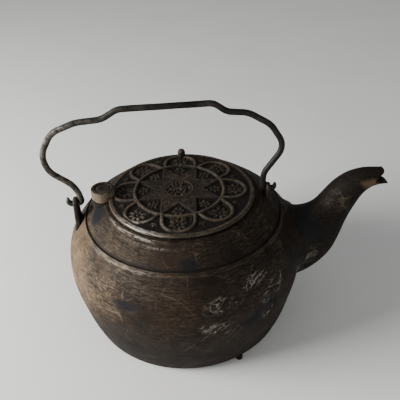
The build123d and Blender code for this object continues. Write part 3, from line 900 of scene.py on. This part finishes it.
def cast_iron(name):
    """The body casting: brown patina with a painted lit left side and painted shade elsewhere,
    brushed arcs, scores, chips, dark smears and painted highlights.
    """
    s = Shader(name, 0.15, 0.20)
    x, _, z = s.place()
    blotch = s.noise(55, 6, 0.66, None, 0.6)
    colour = s.ramp(s.noise(14, 5, 0.62, None, 0.5),
                    (0.30, DARK), (0.50, BROWN), (0.68, scaled(BROWN, 1.55)))
    colour = s.mix(s.ramp(blotch, (0.44, 0.0), (0.66, 0.72)), colour, DARK)
    warm = s.noise(19, 4, 0.6, s.mapped(shift=(0.3, 0.1, 0.2)))
    colour = s.mix(s.ramp(warm, (0.50, 0.0), (0.66, 0.55)), colour, WARM)

    # painted light: away from the rear left side, which faces the window, the patina is darkened
    # as painted shade, and the rear of that side is painted a lighter tan where the light falls
    lit_flank = s.patch((-86, -58, 108), (74, 66, 66), 0.35, 22)
    colour = s.mix(lit_flank, s.tinted(colour, (0.31, 0.235, 0.165)), colour)
    tan = s.mix(s.ramp(blotch, (0.40, 0.0), (0.60, 1.0)),
                (0.215, 0.138, 0.078), (0.125, 0.081, 0.046))
    colour = s.mix(s.times(s.patch((-106, -30, 98), (34, 60, 46), 0.9, 30), 0.75), colour, tan)

    # brushed marks over all of it, coarse and fine
    # painted light: the brushed marks and the scores are paler on the lit rear left side
    rub = s.mix(lit_flank, (0.050, 0.035, 0.022), PALE)
    grain = s.times(s.math("SUBTRACT", s.noise(430, 5, 0.7), 0.5), 0.42)
    brushed = s.math("ADD", s.brushed_arcs(460, 6.5), grain)
    fine = s.math("ADD", s.brushed_arcs(900, 13.0), grain)
    where = s.ramp(s.noise(21, 4, 0.6, s.mapped(shift=(0.7, 0.4, 0.9))), (0.40, 0.15), (0.62, 1.0))
    colour = s.mix(s.times(s.ramp(brushed, (0.50, 0.0), (0.62, 0.58)), where), colour, rub)
    colour = s.mix(s.times(s.ramp(fine, (0.51, 0.0), (0.58, 0.75)), where), colour, rub)
    colour = s.mix(s.ramp(brushed, (0.34, 0.66), (0.46, 0.0)), colour, DARK)
    score_colour = s.mix(lit_flank, (0.115, 0.085, 0.060), scaled(PALE, 1.2))
    for scale, seed in SCORES:
        broken = s.noise(38, 4, 0.6, s.mapped(shift=(seed, 0, 0)))
        lines = s.times(s.scratches(scale, 0.0032 * scale / 26, seed),
                        s.ramp(broken, (0.50, 0.0), (0.58, 0.6)))
        colour = s.mix(lines, colour, score_colour)
    colour = s.mix(s.ramp(fine, (0.38, 0.6), (0.47, 0.0)), colour, DARK)

    # painted highlights where the collar and ridge edges catch the window light, as pale brushed
    # streaks, most of all at the rear left
    streak = s.brushed_arcs(900, 6.0)
    grit = s.times(s.ramp(streak, (0.42, 0.0), (0.54, 1.0)),
                   s.ramp(s.noise(150, 6, 0.8), (0.42, 0.05), (0.56, 1.0)))
    for radius, width, centre, size, amount in HIGHLIGHT_RINGS:
        band = s.times(s.ring_mask(radius, width), s.patch(centre, size, 0.5, 50))
        colour = s.mix(s.times(band, grit, amount), colour, GLINT_PALE)
    # painted highlight along the ridge's outer edge, paler on the lit rear left side
    ridge = s.times(s.ring_mask(98.1, 1.2), s.ramp(streak, (0.44, 0.0), (0.60, 0.6)))
    colour = s.mix(ridge, colour, s.mix(lit_flank, (0.088, 0.064, 0.042), PALE))

    # flaked lime low on the spout side: a net of thin pale lines with small chips in it
    net = s.slanted((0.0, -0.5, 0.0), (2.0, 2.0, 0.8))
    lines = s.away(s.noise(70, 4, 0.62, net, 1.2), 0.5)
    chips = s.math("MAXIMUM", s.ramp(lines, (0.008, 1.0), (0.026, 0.0)),
                   s.ramp(s.noise(150, 5, 0.7, net, 1.4), (0.57, 0.0), (0.62, 0.8)))
    for centre, size in LIME_PATCHES:
        colour = s.mix(s.times(s.patch(centre, size, 1.1, 48), chips, 0.70), colour, LIME)
    # dark smears, two of them painted shade under the lid's eye
    for centre, size in DARK_SMEARS_AND_SHADE:
        colour = s.mix(s.times(s.patch(centre, size, 0.75, 75), 0.9), colour, BLUE)

    # spout: dark root, brushed middle, tan tip
    colour = s.mix(s.ramp(s.times(x, 5), (0.56, 0.0), (0.66, 1.0)), colour,
                   s.tinted(colour, (0.46, 0.47, 0.44)))
    colour = s.mix(s.times(s.patch((120, -14, 108), (22, 22, 26), 0.7, 55), 0.7), colour, BLUE)
    flecks = s.noise(300, 5, 0.7, s.mapped((0.35, 1, 1), (0, 0.9, 0)))
    colour = s.mix(s.times(s.patch((152, -13, 131), (13, 12, 15), 0.8, 90),
                           s.ramp(flecks, (0.47, 0.0), (0.60, 0.26))), colour, PALE)
    colour = s.mix(s.times(s.patch((183, -9, 149), (13, 8, 7), 0.6, 90), 0.72), colour, TIP_TAN)

    # darker toward the base, a dark line at the mould seam, and painted shade in the groove over
    # the ridge
    colour = s.mix(s.ramp(s.times(z, 10), (0.05, 0.75), (0.66, 0.0)), colour, LOW_DARK)
    seam = s.times(s.away(z, SEAM_HEIGHT * MM), 1 / MM)
    colour = s.mix(s.ramp(seam, (0.0, 0.8), (1.0, 0.0)), colour, DARK)
    groove = s.times(s.ring_mask(94.9, 1.7), s.ramp(z, (0.122, 0.0), (0.124, 0.9)))
    colour = s.mix(groove, colour, DARK)
    height = s.math("ADD", s.times(s.noise(700, 4, 0.7), 0.6), s.times(brushed, 0.6))
    return s.finish(colour, s.ramp(blotch, (0.3, 0.62), (0.7, 0.84)), height, 0.32, 0.7)


def worn_iron(name, dark, brown, rubbed, grain=150):
    """Dark casting whose raised edges are rubbed lighter, as the mesh's wear values say; on the
    eye, the pale side they give is painted light.
    """
    s = Shader(name, 0.15, 0.20)
    wear = s.node("ShaderNodeAttribute", attribute_name="wear").outputs["Fac"]
    colour = s.ramp(s.noise(40, 5, 0.6), (0.35, dark), (0.65, brown))
    rust = s.ramp(s.noise(26, 4, 0.6), (0.46, 0.0), (0.62, 0.75))
    colour = s.mix(rust, colour, s.tinted(colour, (1.9, 1.35, 1.1)))
    colour = s.mix(s.ramp(s.noise(420, 4, 0.7), (0.50, 0.0), (0.68, 0.6)), colour, rubbed)
    uneven = s.times(s.math("SUBTRACT", s.noise(grain, 5, 0.7), 0.5), 1.5)
    edge = s.ramp(s.math("ADD", wear, uneven), (0.45, 0.0), (1.05, 1.0))
    colour = s.mix(edge, colour, rubbed)
    colour = s.mix(s.ramp(wear, (0.0, 0.75), (0.35, 0.0)), colour, scaled(dark, 0.55))
    # painted highlight: the edge over the rear left of the body catches the window light and is
    # painted brightest, in pale streaks
    edge_glint = s.times(s.patch((-50, -56, 145), (42, 28, 8), 0.5, 50),
                     s.ramp(s.brushed_arcs(900, 6.0), (0.44, 0.0), (0.56, 1.0)),
                     s.ramp(wear, (0.3, 0.0), (0.7, 0.85)))
    colour = s.mix(edge_glint, colour, GLINT_PALE)
    rough = s.ramp(wear, (0.0, 0.74), (1.0, 0.46))
    return s.finish(colour, rough, s.noise(1100, 4, 0.65), 0.18, 0.6)


def rod_iron(name):
    """Smooth dark bar whose rear end, nearest the window, is painted pale in flecks as painted
    light.
    """
    s = Shader(name, 0.5, 0.30)
    x = s.place()[0]
    cloud = s.noise(60, 5, 0.65)
    colour = s.ramp(cloud, (0.35, (0.006, 0.005, 0.0046)), (0.52, (0.014, 0.012, 0.0102)),
                    (0.68, (0.036, 0.030, 0.024)))
    # painted light: the rear end, nearest the window, is paler
    pale = s.ramp(s.times(x, -10), (0.55, 0.0), (1.15, 0.6))
    flaked = s.ramp(s.noise(210, 5, 0.7), (0.42, 0.0), (0.62, 1.0))
    colour = s.mix(s.times(pale, flaked), colour, (0.17, 0.155, 0.13))
    rough = s.ramp(cloud, (0.3, 0.42), (0.7, 0.66))
    return s.finish(colour, rough, s.noise(800, 4, 0.65), 0.2, 0.6)


def pale_floor(name, colour, rough):
    s = Shader(name)
    tint = s.ramp(s.noise(9, 4, 0.5), (0.3, scaled(colour, 0.96)), (0.7, colour))
    return s.finish(tint, rough)


IRON = cast_iron("kettle_iron")
# the ears get a darker copy of the iron: painted shade, as they sit in the lid's shadow
SHADED_EAR_IRON = worn_iron("ear_iron_painted_shade", (0.008, 0.0068, 0.0058), (0.015, 0.0125, 0.0105),
                     (0.042, 0.034, 0.027))
LID_IRON = worn_iron("lid_iron_worn", (0.0055, 0.0040, 0.0028), (0.0175, 0.0125, 0.0082),
                     (0.074, 0.058, 0.041))
# the pale rubbed colour on the eye's side is painted light
LIT_EYE_IRON = worn_iron("eye_iron_painted_light", (0.010, 0.008, 0.006), (0.034, 0.026, 0.017),
                     (0.165, 0.132, 0.090), 420)
RIVET_IRON = worn_iron("rivet_iron", (0.012, 0.010, 0.009), (0.025, 0.020, 0.017),
                       (0.070, 0.058, 0.046))
ROD_IRON = rod_iron("rod_iron")

for piece, material, body_name, node, slot in (
        (body, IRON, "kettle", "kettle_body", "body_iron"),
        (spout, IRON, "kettle", "spout", "body_iron"),
        (rear_ear, SHADED_EAR_IRON, "kettle", "rear_ear", "body_iron"),
        (front_ear, SHADED_EAR_IRON, "kettle", "front_ear", "body_iron"),
        (rivet, RIVET_IRON, "kettle", "pivot_rivet", "rivet_steel"),
        (lid, LID_IRON, "lid", "lid", "lid_iron"),
        (eye, LIT_EYE_IRON, "lid", None, "lid_iron"),
        (web, LID_IRON, "lid", None, "lid_iron"),
        (nub, LID_IRON, "lid", "lid_knob", "lid_iron"),
        (bail, ROD_IRON, "bail", "bail_handle", "bail_iron")):
    piece.data.materials.clear()
    piece.data.materials.append(material)
    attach(piece, body_name)
    if node:
        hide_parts(node)

for node in ("pivot_pad", "feet"):
    for material_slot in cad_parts[node].material_slots:
        material_slot.material = IRON

# ------------------------------------------------------------------ floor, light and camera
def sheet(name, half, material):
    """A level square sheet at the height of the kettle's base, half its side in metres."""
    mesh = bpy.data.meshes.new(name)
    corners = [(-half, -half, 0), (half, -half, 0), (half, half, 0), (-half, half, 0)]
    mesh.from_pydata(corners, [], [(0, 1, 2, 3)])
    mesh.materials.append(material)
    obj = add_object(name, mesh)


sheet("floor", 40, pale_floor("floor_pale", (0.84, 0.84, 0.83), 0.9))

world = bpy.data.worlds.new("studio")
bpy.context.scene.world = world
world.use_nodes = True
background = world.node_tree.nodes["Background"]
background.inputs[0].default_value = (0.66, 0.67, 0.67, 1)
background.inputs[1].default_value = 0.45


def area_light(name, place, target, size, power, colour):
    light = bpy.data.lights.new(name, "AREA")
    light.shape = "RECTANGLE"
    light.size = light.size_y = size
    light.energy = power
    light.color = colour
    lamp = add_object(name, light)
    lamp.location = place
    aim = Vector(target) - Vector(place)
    lamp.rotation_euler = aim.to_track_quat("-Z", "Y").to_euler()


area_light("window", (-1.15, -0.24, 0.50), (0, 0, 0.07), 0.7, 40, (1.0, 0.99, 0.97))
area_light("fill", (0.95, -1.2, 0.8), (0, 0, 0.1), 1.2, 5.5, (1.0, 0.98, 0.96))

# the camera looks down on the kettle from the front, a little rolled
CAMERA_PLACE = (0, -0.4838, 0.4760)
PITCH, PAN, ROLL = 0.6145, 0.035, -0.036
camera = bpy.data.cameras.new("camera")
camera.lens = 54.0
camera.sensor_width = 36.0
eye_point = add_object("camera", camera)
forward = Vector((math.sin(PAN) * math.cos(PITCH), math.cos(PAN) * math.cos(PITCH),
                  -math.sin(PITCH)))
right = Vector((math.cos(PAN), -math.sin(PAN), 0))
up = right.cross(forward)
level = math.cos(ROLL) * right + math.sin(ROLL) * up
upright = -math.sin(ROLL) * right + math.cos(ROLL) * up
turn = Matrix((level, upright, -forward)).transposed().to_4x4()
eye_point.matrix_world = Matrix.Translation(CAMERA_PLACE) @ turn
bpy.context.scene.camera = eye_point
